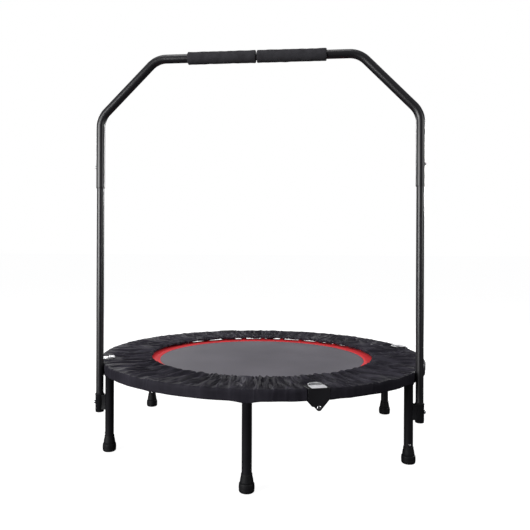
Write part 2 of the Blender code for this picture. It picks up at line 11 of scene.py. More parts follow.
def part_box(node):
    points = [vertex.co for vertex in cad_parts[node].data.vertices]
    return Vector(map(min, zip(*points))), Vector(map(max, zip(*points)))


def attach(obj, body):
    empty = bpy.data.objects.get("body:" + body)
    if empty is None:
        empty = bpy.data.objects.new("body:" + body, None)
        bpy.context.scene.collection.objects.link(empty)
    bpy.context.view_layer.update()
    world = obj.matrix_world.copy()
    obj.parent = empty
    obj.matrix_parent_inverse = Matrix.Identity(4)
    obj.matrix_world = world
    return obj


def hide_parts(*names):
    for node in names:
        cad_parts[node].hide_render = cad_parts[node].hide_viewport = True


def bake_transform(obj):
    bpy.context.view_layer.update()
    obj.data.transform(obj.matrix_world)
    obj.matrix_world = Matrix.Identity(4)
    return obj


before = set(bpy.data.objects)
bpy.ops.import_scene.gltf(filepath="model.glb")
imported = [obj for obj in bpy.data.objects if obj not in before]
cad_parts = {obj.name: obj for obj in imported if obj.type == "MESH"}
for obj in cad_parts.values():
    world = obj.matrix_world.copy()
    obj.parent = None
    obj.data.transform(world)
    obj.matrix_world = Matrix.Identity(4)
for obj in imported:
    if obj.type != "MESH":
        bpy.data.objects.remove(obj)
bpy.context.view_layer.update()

LEGS = {
    "front_left": -150,
    "front": -90,
    "front_right": -30,
    "rear_right": 30,
    "rear": 90,
    "rear_left": 150,
}
HINGES = {"front": -70, "right": 20, "rear": 110, "left": 200}
QUADRANTS = {
    "front_left": (-160, -70),
    "front_right": (-70, 20),
    "rear_right": (20, 110),
    "rear_left": (110, 200),
}
RIVET_FACING = {
    "front_left": 200,
    "front": 90,
    "front_right": -80,
    "rear_right": 20,
    "rear": 110,
    "rear_left": -75,
}
SIDES = {"left": -1, "right": 1}
FOLD_ANGLE = 20
SPRING_COUNT = 32


def node_size(name):
    low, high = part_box(name)
    return high - low


def top_of(name):
    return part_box(name)[1].z


def node_centre(name):
    low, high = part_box(name)
    return (low + high) / 2


# Sizes read from the frame.
RING_RADIUS = node_centre("leg_rear").y
TUBE_RADIUS = node_size("leg_rear").x / 2
RING_Z = top_of("frame_arc_rear_left") - TUBE_RADIUS
FOOT_HEIGHT = top_of("foot_rear")
FOOT_RADIUS = node_size("foot_rear").x / 2
PIN_Z = node_centre("hinge_pin_rear").z
POLE = node_centre("handle_pole_right")
POLE_RADIUS = node_size("handle_pole_right").y / 2
HANDLE_TOP_Z = top_of("handle_tube_right") - TUBE_RADIUS
STEP_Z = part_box("handle_tube_right")[0].z
BUTTON = node_centre("snap_button_right")
SOCKET_LOW, SOCKET_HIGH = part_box("handle_socket_right")
SOCKET_RADIUS = node_size("handle_socket_right").y / 2
GRIP_RADIUS = node_size("grip_right").z / 2
GRIP_ENDS = (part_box("grip_right")[0].x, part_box("grip_right")[1].x)
SKIRT_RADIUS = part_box("skirt_front")[1].x
SKIRT_TOP_Z = top_of("skirt_rear")
SKIRT_BOTTOM_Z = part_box("skirt_rear")[0].z
MAT_TOP_Z = top_of("mat_rear")
MAT_LOW_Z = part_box("mat_rear")[0].z
BAND_TOP_Z = top_of("border_band_rear")
SPRING_Z = node_centre("springs_rear_left").z

# Sizes that aren't read from the frame.
MAT_RADIUS = 0.326
BAND_RADIUS = 0.380
POLE_CORE_RADIUS = 0.0075
HANDLE_SHOULDER_Z = 0.967
HANDLE_TOP_HALF_WIDTH = 0.2875
HANDLE_BEND_RADIUS = 0.065


def polar(radius, angle, z):
    """A point at a radius and an angle in degrees about Z."""
    turn = math.radians(angle)
    return Vector((radius * math.cos(turn), radius * math.sin(turn), z))


def side_of(angle):
    """The fold half that an azimuth in degrees lies on."""
    return "rear" if FOLD_ANGLE < angle % 360 < FOLD_ANGLE + 180 else "front"


# Materials.

class Nodes:
    """A material's node tree with a Principled shader and short ways to add to it."""

    def __init__(self, name):
        self.material = bpy.data.materials.new(name)
        self.material.use_nodes = True
        self.tree = self.material.node_tree
        self.shader = self.tree.nodes["Principled BSDF"]

    def add(self, kind, **values):
        made = self.tree.nodes.new(kind)
        for key, value in values.items():
            if key in made.inputs:
                made.inputs[key].default_value = value
            else:
                setattr(made, key, value)
        return made

    def link(self, out, into):
        self.tree.links.new(out, into)

    def set(self, **values):
        for key, value in values.items():
            self.shader.inputs[key.replace("_", " ")].default_value = value

    def coordinates(self, kind="Object"):
        return self.add("ShaderNodeTexCoord").outputs[kind]

    def noise(self, scale, detail=3.0, coordinates=None):
        made = self.add("ShaderNodeTexNoise", Scale=scale, Detail=detail)
        self.link(coordinates or self.coordinates(), made.inputs["Vector"])
        return made.outputs["Fac"]

    def ramp(self, source, stops):
        made = self.add("ShaderNodeValToRGB")
        elements = made.color_ramp.elements
        for element, (place, colour) in zip(elements, stops):
            element.position = place
            element.color = (*colour, 1.0)
        self.link(source, made.inputs["Fac"])
        return made.outputs["Color"]

    def spread(self, source, low, high):
        made = self.add("ShaderNodeMapRange")
        made.inputs["To Min"].default_value = low
        made.inputs["To Max"].default_value = high
        self.link(source, made.inputs["Value"])
        return made.outputs["Result"]

    def bump(self, height, strength, distance, normal=None):
        made = self.add("ShaderNodeBump", Strength=strength, Distance=distance)
        self.link(height, made.inputs["Height"])
        if normal:
            self.link(normal, made.inputs["Normal"])
        return made.outputs["Normal"]

    def math(self, operation, first, second):
        made = self.add("ShaderNodeMath", operation=operation)
        for slot, value in zip(made.inputs, (first, second)):
            if isinstance(value, (int, float)):
                slot.default_value = value
            else:
                self.link(value, slot)
        return made.outputs[0]

    def finish(self, colour=None, roughness=None, normal=None):
        for source, name in ((colour, "Base Color"), (roughness, "Roughness"), (normal, "Normal")):
            if source:
                self.link(source, self.shader.inputs[name])
        return self.material


def powder_coat():
    """Satin black paint with a fine orange peel."""
    n = Nodes("powder_coat")
    n.set(Coat_Weight=0.55, Coat_Roughness=0.30, Specular_IOR_Level=0.5)
    colour = n.ramp(n.noise(14.0), [(0.3, (0.0075, 0.0072, 0.0092)), (0.75, (0.0120, 0.0112, 0.0145))])
    roughness = n.spread(n.noise(60.0, 4.0), 0.36, 0.44)
    return n.finish(colour, roughness, n.bump(n.noise(900.0, 2.0), 0.05, 0.0003))


def moulded(name, colour, roughness, grain):
    """Matt moulded rubber or plastic with a fine grain."""
    n = Nodes(name)
    n.set(Specular_IOR_Level=0.22)
    low = tuple(0.75 * c for c in colour)
    tone = n.ramp(n.noise(35.0, 4.0), [(0.3, low), (0.7, colour)])
    rough = n.spread(n.noise(120.0), roughness - 0.07, roughness + 0.07)
    return n.finish(tone, rough, n.bump(n.noise(1400.0, 2.0), grain, 0.0003))


def foam():
    """Closed-cell foam: dull, with tiny pores and faint streaks."""
    n = Nodes("foam")
    n.set(Specular_IOR_Level=0.25)
    tone = n.ramp(n.noise(50.0, 5.0), [(0.3, (0.028, 0.027, 0.031)), (0.75, (0.046, 0.045, 0.052))])
    pores = n.add("ShaderNodeTexVoronoi", Scale=1100.0)
    n.link(n.coordinates(), pores.inputs["Vector"])
    fine = n.bump(pores.outputs["Distance"], 0.30, 0.0004)
    rough = n.spread(n.noise(90.0), 0.78, 0.92)
    return n.finish(tone, rough, n.bump(n.noise(45.0, 2.0), 0.18, 0.002, fine))


def zinc(name, low, high, tone=0.86, metallic=1.0):
    """Bright plated steel with a slightly cloudy finish."""
    n = Nodes(name)
    n.set(Metallic=metallic)
    dull = 0.75 * tone
    tone = n.ramp(n.noise(90.0, 4.0), [(0.3, (dull, dull, dull * 1.03)), (0.7, (tone, tone, tone * 1.02))])
    rough = n.spread(n.noise(160.0, 4.0), low, high)
    return n.finish(tone, rough, n.bump(n.noise(700.0, 2.0), 0.06, 0.0003))


def weave(n, pitch, lift):
    """A plain weave from two crossed waves of the UV map, which is in metres. Returns (height, normal)."""
    crossed = []
    for direction in ("X", "Y"):
        wave = n.add("ShaderNodeTexWave", Scale=1 / (pitch * 10), bands_direction=direction)
        wave.inputs["Distortion"].default_value = 0.4
        wave.inputs["Detail"].default_value = 1.0
        wave.inputs["Detail Scale"].default_value = 2.0
        n.link(n.coordinates("UV"), wave.inputs["Vector"])
        crossed.append(wave.outputs["Fac"])
    height = n.math("MULTIPLY", *crossed)
    return height, n.bump(height, lift, pitch * 0.35)


def polyester():
    """Black Oxford cloth: fine weave, small creases, random tone, and a painted highlight that makes the
    crests of the gathers paler.
    """
    n = Nodes("polyester")
    n.set(Specular_IOR_Level=0.05)
    cloth = n.coordinates("UV")
    stretched = n.add("ShaderNodeMapping", Scale=(30.0, 4.5, 1.0))
    n.link(cloth, stretched.inputs["Vector"])
    streaks = n.noise(1.0, 2.0, stretched.outputs["Vector"])
    valley = n.math("ABSOLUTE", n.math("SUBTRACT", streaks, 0.5), 0.0)
    ridge = n.math("MAXIMUM", n.math("SUBTRACT", 1.0, n.math("MULTIPLY", valley, 14.0)), 0.0)
    over_the_rim = {"From Min": 0.148, "From Max": 0.166, "To Min": 1.0, "To Max": 0.12}
    gathered = n.add("ShaderNodeMapRange", **over_the_rim)
    across = n.add("ShaderNodeSeparateXYZ")
    n.link(cloth, across.inputs["Vector"])
    n.link(across.outputs["Y"], gathered.inputs["Value"])
    fade = gathered.outputs["Result"]
    # Painted highlight: the crests of the gathers are painted paler, standing in for the sheen they catch;
    # the noise it is added to is the cloth's random tone.
    shine = n.math("MULTIPLY", n.math("MULTIPLY", ridge, fade), 0.36)
    tone_and_painted_highlight = n.math("ADD", n.math("MULTIPLY", n.noise(9.0, 6.0), 0.6), shine)
    tone = n.ramp(tone_and_painted_highlight, [(0.2, (0.0150, 0.0139, 0.0190)), (0.75, (0.0560, 0.0522, 0.0675))])
    rough = n.spread(n.noise(40.0, 4.0), 0.50, 0.64)
    _, woven = weave(n, 0.0007, 0.30)
    creased = n.bump(n.noise(130.0, 5.0), 0.22, 0.0012, woven)
    height = n.math("MULTIPLY", valley, n.math("MULTIPLY", n.math("ADD", fade, 0.3), -1.0))
    return n.finish(tone, rough, n.bump(height, 1.0, 0.018, creased))


def woven_mat():
    """Grey woven polypropylene."""
    n = Nodes("woven_mat")
    n.set(Specular_IOR_Level=0.18, Sheen_Weight=0.02, Sheen_Roughness=0.4)
    height, normal = weave(n, 0.0016, 0.5)
    cloud = n.noise(6.0, 5.0)
    mixed = n.math("ADD", n.math("MULTIPLY", height, 0.35), n.math("MULTIPLY", cloud, 0.65))
    tone = n.ramp(mixed, [(0.15, (0.116, 0.110, 0.127)), (0.75, (0.204, 0.194, 0.220))])
    rough = n.spread(cloud, 0.50, 0.62)
    return n.finish(tone, rough, normal)


def webbing():
    """Red woven webbing."""
    n = Nodes("red_webbing")
    n.set(Specular_IOR_Level=0.20, Sheen_Weight=0.06, Sheen_Roughness=0.4)
    n.shader.inputs["Sheen Tint"].default_value = (1.0, 0.45, 0.45, 1.0)
    height, normal = weave(n, 0.0014, 0.6)
    mixed = n.math("ADD", n.math("MULTIPLY", height, 0.4), n.math("MULTIPLY", n.noise(25.0), 0.6))
    tone = n.ramp(mixed, [(0.2, (0.88, 0.020, 0.030)), (0.8, (1.0, 0.050, 0.066))])
    return n.finish(tone, n.spread(n.noise(60.0), 0.55, 0.75), normal)


def thread(name, colour):
    """Dull spun thread."""
    n = Nodes(name)
    n.set(Sheen_Weight=0.3)
    dark = tuple(0.6 * c for c in colour)
    tone = n.ramp(n.noise(900.0), [(0.3, dark), (0.7, colour)])
    return n.finish(tone, n.spread(n.noise(400.0), 0.6, 0.8))


# Mesh tools.

def link_mesh(name, points, faces, mat, uv=None, smooth=True):
    mesh = bpy.data.meshes.new(name)
    mesh.from_pydata([tuple(p) for p in points], [], faces)
    if uv is not None:
        layer = mesh.uv_layers.new(name="UVMap")
        corner = np.zeros(len(mesh.loops), np.int32)
        mesh.loops.foreach_get("vertex_index", corner)
        layer.data.foreach_set("uv", np.asarray(uv, np.float32)[corner].ravel())
    mesh.materials.append(mat)
    mesh.validate()
    if smooth:
        mesh.shade_smooth()
        mesh.set_sharp_from_angle(angle=math.radians(50))
    obj = bpy.data.objects.new(name, mesh)
    bpy.context.scene.collection.objects.link(obj)
    return obj


def grid_faces(rows, columns, around, start=0):
    """Quads over rows x columns of points; around closes each row on itself."""
    faces = []
    for row in range(rows - 1):
        for column in range(columns if around else columns - 1):
            following = (column + 1) % columns
            a = start + row * columns
            b = a + columns
            faces.append((a + column, a + following, b + following, b + column))
    return faces


def lathe(name, profile, mat, place=None, sides=40):
    """A solid of revolution from (radius, z) points running down the outside; radius 0 makes a pole."""
    points = []
    rings = []
    for radius, z in profile:
        if radius < 1e-7:
            rings.append([len(points)])
            points.append(Vector((0, 0, z)))
            continue
        rings.append(list(range(len(points), len(points) + sides)))
        for index in range(sides):
            turn = 2 * math.pi * index / sides
            points.append(Vector((radius * math.cos(turn), radius * math.sin(turn), z)))
    faces = []
    for upper, lower in zip(rings, rings[1:]):
        for index in range(sides):
            following = (index + 1) % sides
            if len(upper) == 1 and len(lower) == 1:
                break
            if len(upper) == 1:
                faces.append((upper[0], lower[index], lower[following]))
            elif len(lower) == 1:
                faces.append((upper[index], lower[0], upper[following]))
            else:
                faces.append((upper[index], lower[index], lower[following], upper[following]))
    if place:
        points = [place @ point for point in points]
    return link_mesh(name, points, faces, mat)


def sweep(name, path, radius, mat, sides=16, closed=False, radii=None):
    """A round bar along a path, with flat ends, or joined to itself."""
    path = [Vector(point) for point in path]
    count = len(path)
    tangents = []
    for index in range(count):
        before = path[index - 1] if index or closed else path[0]
        after = path[(index + 1) % count] if index < count - 1 or closed else path[-1]
        tangents.append((after - before).normalized())
    normal = tangents[0].orthogonal().normalized()
    points = []
    for index, (point, tangent) in enumerate(zip(path, tangents)):
        normal = (normal - tangent * normal.dot(tangent)).normalized()
        side = tangent.cross(normal)
        reach = radii[index] if radii else radius
        for step in range(sides):
            turn = 2 * math.pi * step / sides
            points.append(point + reach * (math.cos(turn) * normal + math.sin(turn) * side))
    faces = grid_faces(count, sides, True)
    if closed:
        last = (count - 1) * sides
        faces += [(last + s, last + (s + 1) % sides, (s + 1) % sides, s) for s in range(sides)]
    else:
        faces.append(tuple(reversed(range(sides))))
        faces.append(tuple(range((count - 1) * sides, count * sides)))
    return link_mesh(name, points, faces, mat)


def join(name, objects):
    """One mesh object from several that share a material."""
    bm = bmesh.new()
    mat = objects[0].data.materials[0]
    for obj in objects:
        bm.from_mesh(obj.data)
        old = obj.data
        bpy.data.objects.remove(obj)
        bpy.data.meshes.remove(old)
    mesh = bpy.data.meshes.new(name)
    bm.to_mesh(mesh)
    bm.free()
    mesh.materials.clear()
    mesh.materials.append(mat)
    made = bpy.data.objects.new(name, mesh)
    bpy.context.scene.collection.objects.link(made)
    return made


def rounded_path(corners, radius, steps):
    """The corners' polyline with each inner corner replaced by an arc."""
    corners = [Vector(corner) for corner in corners]
    points = [corners[0]]
    for before, corner, after in zip(corners, corners[1:], corners[2:]):
        to_before = (before - corner).normalized()
        to_after = (after - corner).normalized()
        half_turn = (math.pi - to_before.angle(to_after)) / 2
        reach = radius * math.tan(half_turn)
        centre = corner + (to_before + to_after).normalized() * (radius / math.cos(half_turn))
        start = corner + to_before * reach - centre
        axis = to_after.cross(to_before).normalized()
        for step in range(steps + 1):
            points.append(centre + Matrix.Rotation(2 * half_turn * step / steps, 3, axis) @ start)
    points.append(corners[-1])
    return points


def along_x(side, centre):
    """Places a lathe's axis along X, pointing outwards on that side."""
    return Matrix.Translation(centre) @ Matrix.Rotation(side * math.pi / 2, 4, "Y")


def about_z(angle, height):
    """Places a shape built along +X at an angle in degrees round Z and at a height."""
    return Matrix.Rotation(math.radians(angle), 4, "Z") @ Matrix.Translation((0, 0, height))


def thicken(sheet, thickness):
    """Gives a sheet its thickness on its inner side."""
    solid = sheet.modifiers.new("thickness", "SOLIDIFY")
    solid.thickness = thickness
    solid.offset = -1


def round_edges(obj, width, segments, angle=30):
    """Bevels the edges that turn more than an angle in degrees."""
    edges = obj.modifiers.new("edges", "BEVEL")
    edges.width = width
    edges.segments = segments
    edges.limit_method = "ANGLE"
    edges.angle_limit = math.radians(angle)
    return edges


def settle(piece, body, slot, *nodes):
    """The piece rides on a body and stands for CAD nodes, which it hides; the slot argument is not used."""
    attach(piece, body)
    if nodes:
        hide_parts(*nodes)
    return piece


# Frame, legs and feet.

def make_ring():
    """The four tube quadrants."""
    steps = 60
    margin = math.degrees(0.0004 / RING_RADIUS)
    for name, (start, end) in QUADRANTS.items():
        span = end - start - 2 * margin
        turns = [start + margin + span * step / steps for step in range(steps + 1)]
        path = [polar(RING_RADIUS, turn, RING_Z) for turn in turns]
        arc = sweep(f"ring_tube_{name}", path, TUBE_RADIUS, COAT, 28)
        body = f"frame_{name.split('_')[0]}"
        settle(arc, body, "black_steel", f"frame_arc_{name}")


def make_leg(name, angle):
    """Leg tube, its wider collar under the ring, and the rivet above its foot."""
    body = f"frame_{side_of(angle)}"
    place = Matrix.Translation(polar(RING_RADIUS, angle, 0))
    low = FOOT_HEIGHT - 0.030
    top = RING_Z - 0.006
    r = TUBE_RADIUS
    collar = RING_Z - 0.019
    wide = r + 0.0012
    profile = [(0, top), (wide, top), (wide, collar), (r, collar - 0.0015), (r, low), (0, low)]
    leg = lathe(f"leg_tube_{name}", profile, COAT, place)
    settle(leg, body, "black_steel", f"leg_{name}")
    screw_z = FOOT_HEIGHT + 0.0065
    facing = Matrix.Rotation(math.radians(RIVET_FACING[name]), 4, "Z")
    outward = facing @ Matrix.Rotation(math.pi / 2, 4, "Y")
    place = Matrix.Translation(polar(RING_RADIUS, angle, screw_z)) @ outward
    head = [(0, r + 0.0012), (0.0016, r + 0.0010), (0.0027, r + 0.0002)]
    head += [(0.0027, r - 0.002), (0, r - 0.002)]
    rivet = lathe(f"leg_rivet_{name}", head, ZINC, place, 20)
    settle(rivet, body, "zinc")


def arc_profile(centre, radius, start, end, steps):
    """(r, z) points on an arc, angles in degrees."""
    angles = [math.radians(start + (end - start) * step / steps) for step in range(steps + 1)]
    return [(centre[0] + radius * math.cos(a), centre[1] + radius * math.sin(a)) for a in angles]


def make_foot(name, angle):
    """Moulded rubber foot: lip, cone, rounded drum with a parting groove, hollow-edged sole."""
    shoulder = 0.024
    r = FOOT_RADIUS
    bore = TUBE_RADIUS + 0.0002
    profile = [(bore, FOOT_HEIGHT - 0.002), (bore + 0.0008, FOOT_HEIGHT)]
    profile += arc_profile((TUBE_RADIUS + 0.0005, FOOT_HEIGHT - 0.001), 0.001, 90, 10, 3)
    profile += [(0.0142, FOOT_HEIGHT - 0.006), (0.0157, shoulder + 0.010), (0.0166, shoulder + 0.003)]
    profile += [(0.0170, shoulder + 0.0008)]
    profile += arc_profile((r - 0.0035, shoulder - 0.0035), 0.0030, 80, 5, 6)
    profile += [(r, 0.0150), (r, 0.0105), (r - 0.0007, 0.0100), (r - 0.0007, 0.0092), (r - 0.0001, 0.0086)]
    profile += [(r - 0.0004, 0.0060)]
    profile += arc_profile((r - 0.0055, 0.0052), 0.0052, 0, -90, 7)
    profile += [(0.010, 0.0), (0.009, 0.001), (0, 0.001)]
    place = Matrix.Translation(polar(RING_RADIUS, angle, 0))
    foot = lathe(f"rubber_foot_{name}", profile, RUBBER, place, 48)
    settle(foot, f"frame_{side_of(angle)}", "rubber", f"foot_{name}")


# Hinges keep their CAD shapes, with softened edges; plates and pins are remade.

def soften(node, width, mat):
    """Gives a CAD node rounded edges and its material."""
    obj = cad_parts[node]
    obj.data.materials.clear()
    obj.data.materials.append(mat)
    merge = obj.modifiers.new("weld", "WELD")
    merge.merge_threshold = 0.00002
    edges = round_edges(obj, width, 3)
    edges.harden_normals = True


def hinge_place(angle, z):
    return Matrix.Translation(polar(RING_RADIUS, angle, z)) @ Matrix.Rotation(math.radians(angle), 4, "Z")


def make_plate(name, angle):
    """Zinc cover plate: a flat tab over the tube, with a raised half-round dome behind it; the tab is
    painted near white as a painted highlight, the dome darker grey as painted shade.
    """
    top = top_of(f"hinge_plate_{name}") - 0.0002
    place = hinge_place(angle, top)
    tab = make_tab_sheet(f"cover_tab_{name}")
    dome = make_dome(f"cover_dome_{name}")
    for piece in (tab, dome):
        thicken(piece, 0.0012)
        round_edges(piece, 0.0003, 2)
        piece.matrix_world = place
        settle(piece, "frame_front", "zinc")
    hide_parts(f"hinge_plate_{name}")


def make_tab_sheet(name):
    """The flat part over the tube, with clipped corners and a lip turned down at the rim."""
    rows = [(-0.0050, 0.0190, 0.0004), (-0.0020, 0.0206, 0.0004), (0.0160, 0.0206, 0.0002)]
    rows += [(0.0195, 0.0200, 0.0), (0.0212, 0.0192, -0.0010)]
    points = []
    for x, half, z in rows:
        points += [(x, half * (step / 6 - 1), z) for step in range(13)]
    return link_mesh(name, points, grid_faces(len(rows), 13, False), TAB_ZINC_PAINTED_HIGHLIGHT)


def make_dome(name):
    """Half a shallow dish: a narrow rim, a step up, and a slightly hollow middle."""
    centre = -0.0070
    rings = [(0.0185, 0.0002), (0.0175, 0.0024), (0.0162, 0.0034), (0.0150, 0.0034), (0.0135, 0.0022)]
    rings += [(0.0090, 0.0018), (0.0045, 0.0018)]
    steps = 32
    points = []
    for radius, z in rings:
        for step in range(steps + 1):
            turn = math.radians(90 + 180 * step / steps)
            points.append((centre + radius * math.cos(turn), radius * math.sin(turn), z))
    start = len(points)
    points.append((centre, 0, 0.0018))
    faces = [tuple(reversed(face)) for face in grid_faces(len(rings), steps + 1, False)]
    last = start - steps - 1
    faces += [(start, last + step, last + step + 1) for step in range(steps)]
    return link_mesh(name, points, faces, DOME_ZINC_PAINTED_SHADE)


def make_pin(name, angle):
    """Hinge rivet with a domed head on the outer side."""
    body = "frame_rear" if name == "rear" else "frame_front"
    half = 0.0216
    head = 0.0056
    shank = 0.004
    inside = half - 0.0020
    profile = [(0, half)]
    for turn in map(math.radians, (20, 40, 60, 80)):
        profile.append((head * math.sin(turn), half - head * 0.30 * (1 - math.cos(turn))))
    profile += [(head, inside), (shank, inside), (shank, 0.0020 - half), (head, 0.0020 - half)]
    profile += [(head * 0.6, -half), (0, -half)]
    place = hinge_place(angle, PIN_Z) @ Matrix.Rotation(math.pi / 2, 4, "Y")
    settle(lathe(f"rivet_{name}", profile, ZINC, place, 28), body, "zinc", f"hinge_pin_{name}")


# Bed.

def ring_of(name, profile, mat, columns):
    """A full ring from (r, z) points, with a UV map in metres: length round, then across."""
    points = []
    uv = []
    across = 0.0
    for index, (r, z) in enumerate(profile):
        if index:
            across += math.dist(profile[index - 1], (r, z))
        for column in range(columns + 1):
            turn = 2 * math.pi * column / columns
            points.append((r * math.cos(turn), r * math.sin(turn), z))
            uv.append((turn * BAND_RADIUS, across))
    return link_mesh(name, points, grid_faces(len(profile), columns + 1, False), mat, uv)


def fold_blend(piece):
    """Bakes a piece's placement into its mesh."""
    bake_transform(piece)


def weld(obj, distance=0.00001):
    bm = bmesh.new()
    bm.from_mesh(obj.data)
    bmesh.ops.remove_doubles(bm, verts=bm.verts, dist=distance)
    bmesh.ops.recalc_face_normals(bm, faces=bm.faces)
    bm.to_mesh(obj.data)
    bm.free()


def make_mat():
    """The woven mat: one disc on a square grid."""
    step = 0.0125
    edge = MAT_RADIUS + 0.003
    count = int(2 * MAT_RADIUS / step) + 3
    axis = polar(1, FOLD_ANGLE, 0)
    across = polar(1, FOLD_ANGLE + 90, 0)
    bm = bmesh.new()
    bmesh.ops.create_grid(bm, x_segments=count, y_segments=count, size=count * step / 2)
    doomed = [f for f in bm.faces if max(v.co.length for v in f.verts) > MAT_RADIUS + 0.004]
    bmesh.ops.delete(bm, geom=doomed, context="FACES")
    for vert in bm.verts:
        if vert.is_boundary or vert.co.length > MAT_RADIUS:
            vert.co = vert.co.normalized() * edge
    points = [v.co.x * axis + v.co.y * across for v in bm.verts]
    bm.verts.index_update()
    faces = [tuple(v.index for v in f.verts) for f in bm.faces]
    uv = [(v.co.x, v.co.y) for v in bm.verts]
    bm.free()
    points = [Vector((p.x, p.y, MAT_TOP_Z - 0.0004)) for p in points]
    mat = link_mesh("jump_mat", points, faces, WOVEN, uv)
    thicken(mat, 0.0012)
    mat.modifiers.new("normals", "WEIGHTED_NORMAL")
    fold_blend(mat)
    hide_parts("mat_front", "mat_rear")


def make_band():
    """The red border over the mat's edge, with three rows of stitches."""
    low = MAT_LOW_Z - 0.0007
    top = BAND_TOP_Z
    inner = MAT_RADIUS - 0.0005
    profile = [(inner, MAT_LOW_Z), (inner, top - 0.0006), (inner + 0.0008, top)]
    profile += [(inner + 0.0008 + (BAND_RADIUS - inner - 0.002) * s / 8, top) for s in range(1, 9)]
    profile += [(BAND_RADIUS, top - 0.0008), (BAND_RADIUS, low + 0.0008), (BAND_RADIUS - 0.001, low)]
    profile += [(inner + 0.002, low), (inner, MAT_LOW_Z)]
    band = ring_of("border_webbing", profile, WEBBING, 360)
    weld(band)
    fold_blend(band)
    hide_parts("border_band_front", "border_band_rear")
    circles = {"inner": inner + 0.004, "middle": inner + 0.0085, "outer": BAND_RADIUS - 0.005}
    for label, radius in circles.items():
        stitch = make_stitches(f"border_stitches_{label}", radius, top + 0.0001, 0.0042, RED_THREAD)
        fold_blend(stitch)


def make_stitches(name, radius, z, pitch, mat):
    """A circle of raised stitches, each a small eight-sided grain."""
    count = int(2 * math.pi * radius / pitch)
    points = []
    faces = []
    long = pitch * 0.36
    wide = 0.00045
    high = 0.00035
    tips = ((-1, 0, 0), (1, 0, 0), (0, 1, 0), (0, -1, 0), (0, 0, 1), (0, 0, -1))
    for index in range(count):
        turn = 2 * math.pi * index / count
        outward = np.array((math.cos(turn), math.sin(turn), 0))
        onward = np.array((-math.sin(turn), math.cos(turn), 0))
        up = np.array((0, 0, 1.0))
        centre = radius * outward + z * up
        start = len(points)
        for forward, sideways, lift in tips:
            points.append(centre + forward * long * onward + sideways * wide * outward + lift * high * up)
        for tip in (0, 1):
            for a, b in ((2, 4), (4, 3), (3, 5), (5, 2)):
                face = (start + tip, start + a, start + b)
                faces.append(face if tip else face[::-1])
    return link_mesh(name, points, faces, mat)


def spring_angles():
    pitch = 360 / SPRING_COUNT
    return [FOLD_ANGLE + pitch * (index + 0.5) for index in range(SPRING_COUNT)]


def make_spring(index, angle):
    """A coil spring with a hook at each end, from the V ring to the ring tube."""
    coil_radius = 0.0052
    wire = 0.00105
    start = BAND_RADIUS + 0.0130
    end = RING_RADIUS - TUBE_RADIUS - 0.0080
    turns = 19
    per_turn = 12
    axis_z = SPRING_Z - 0.0005
    path = [(start - 0.0030, 0.0030, 0), (start - 0.0048, 0.0008, 0), (start - 0.0040, -0.0022, 0)]
    path += [(start - 0.0012, -0.0030, 0), (start + 0.0008, 0.0005, 0.0020)]
    for step in range(turns * per_turn + 1):
        turn = 2 * math.pi * step / per_turn
        along = start + 0.002 + (end - start - 0.004) * step / (turns * per_turn)
        path.append((along, coil_radius * math.sin(turn), coil_radius * math.cos(turn)))
    path += [(end + 0.0005, 0.0, 0.0030), (end + 0.0040, 0.0, 0.0020), (end + 0.0085, 0.0, 0.0030)]
    turned = about_z(angle, axis_z)
    spring = sweep(f"spring_{index:02d}", [turned @ Vector(p) for p in path], wire, SPRING_STEEL, 6)
    if side_of(angle) == "front":
        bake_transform(spring)
    else:
        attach(spring, "frame_rear")
    return spring


def make_v_ring(angle):
    """A triangular wire ring through a webbing loop on the border's edge."""
    half = 0.011
    base = BAND_RADIUS - 0.0035
    apex = BAND_RADIUS + 0.0125
    corners = [(base, 0), (base, half), (apex, 0), (base, -half), (base, 0)]
    path = rounded_path([(*corner, 0) for corner in corners], 0.0022, 4)[:-1]
    turned = about_z(angle, BAND_TOP_Z + 0.0012)
    return sweep("v_ring", [turned @ Vector(p) for p in path], 0.0011, SPRING_STEEL, 8, closed=True)


def make_tab(angle):
    """The webbing loop that holds a V ring down on the border."""
    half = 0.0065
    rows = [(0.016, 0.0002), (0.008, 0.0006), (0.0050, 0.0030), (0.0030, 0.0034)]
    rows += [(0.0012, 0.0026), (0.0004, 0.0008), (0.0012, -0.0012)]
    turned = about_z(angle, BAND_TOP_Z)
    points = []
    uv = []
    for inset, z in rows:
        r = BAND_RADIUS - inset
        for step in range(7):
            y = half * (step / 3 - 1)
            points.append(turned @ Vector((r, y, z)))
            uv.append((y, r))
    return link_mesh("tab", points, grid_faces(len(rows), 7, False), WEBBING, uv)


def make_springs():
    """All the springs with their V rings and loops; the rings and loops of each half are one piece."""
    rings = {"front": [], "rear": []}
    tabs = {"front": [], "rear": []}
    for index, angle in enumerate(spring_angles()):
        make_spring(index + 1, angle)
        rings[side_of(angle)].append(make_v_ring(angle))
        tabs[side_of(angle)].append(make_tab(angle))
    for name, (start, end) in QUADRANTS.items():
        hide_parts(f"springs_{name}")
    for half in ("front", "rear"):
        settle(join(f"v_rings_{half}", rings[half]), f"mat_{half}", "spring_steel")
        tab = join(f"ring_tabs_{half}", tabs[half])
        thicken(tab, 0.0009)
        settle(tab, f"mat_{half}", "red_webbing")


# Skirt.

SKIRT_COLUMNS = 1440
HEM_RADIUS = 0.352
RIM_RADIUS = 0.5000
HEM_ROWS = 7
TOP_ROWS = 34
TOP_END = HEM_ROWS + TOP_ROWS
WALL_START = TOP_END + 6
WALL_END = WALL_START + 6
RING_INNER_EDGE = 0.474
MEAN_RADIUS = 0.43
SLOT_HALF_WIDTH = 0.0285
SLOT_START = 0.4708
FLAT_HALF_WIDTH = 0.033
FLAT_START = 0.436
RAISED_EDGE = 0.034
RAISED_START = 0.452
RAISED_HEIGHT = 0.0022


def angle_gap(angles, centre):
    """Signed difference in radians, wrapped to half a turn."""
    return (angles - centre + math.pi) % (2 * math.pi) - math.pi


